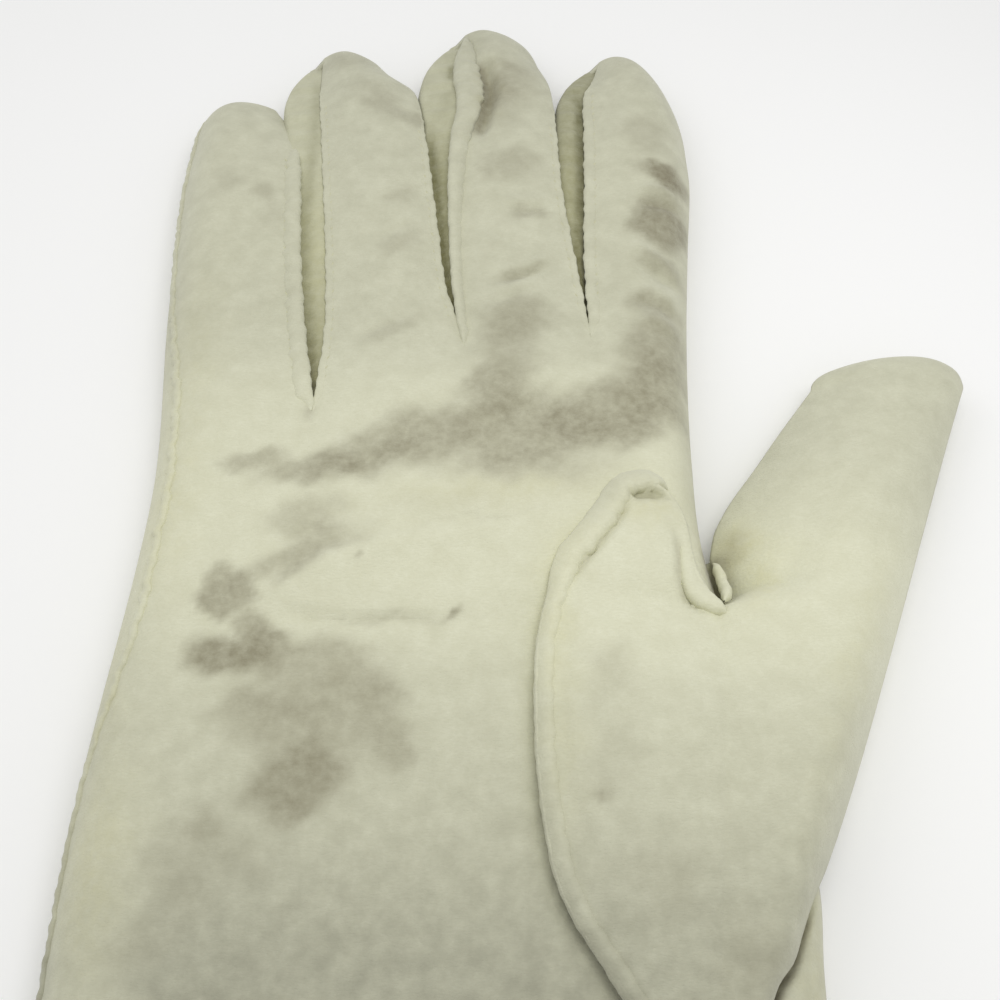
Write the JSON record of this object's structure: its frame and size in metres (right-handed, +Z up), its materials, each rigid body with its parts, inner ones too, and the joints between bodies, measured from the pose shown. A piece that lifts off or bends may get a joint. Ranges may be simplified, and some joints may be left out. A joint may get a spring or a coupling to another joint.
{
  "type": "cotton dress glove",
  "caption": "Right-hand cotton dress glove lying palm up: hollow hand piece with four fingers, set-in thumb and forked side walls, with raised seams and a plain hem.",
  "frame": {"origin": "on the flat underside of the glove, under the middle of the palm", "axes": "+X towards the thumb, +Y along the fingers, +Z up out of the palm"},
  "size_m": [0.1359, 0.2363, 0.02],
  "materials": {
    "suede_cotton": "soft napped cream cotton, soiled",
    "fourchette_cotton": "soft napped cream cotton, yellowed"
  },
  "bodies": {
    "root": {"trank": "suede_cotton", "thumb": "suede_cotton", "fourchette_little_ring": "fourchette_cotton", "fourchette_ring_middle": "fourchette_cotton", "fourchette_middle_index": "fourchette_cotton"}
  },
  "joints": []
}
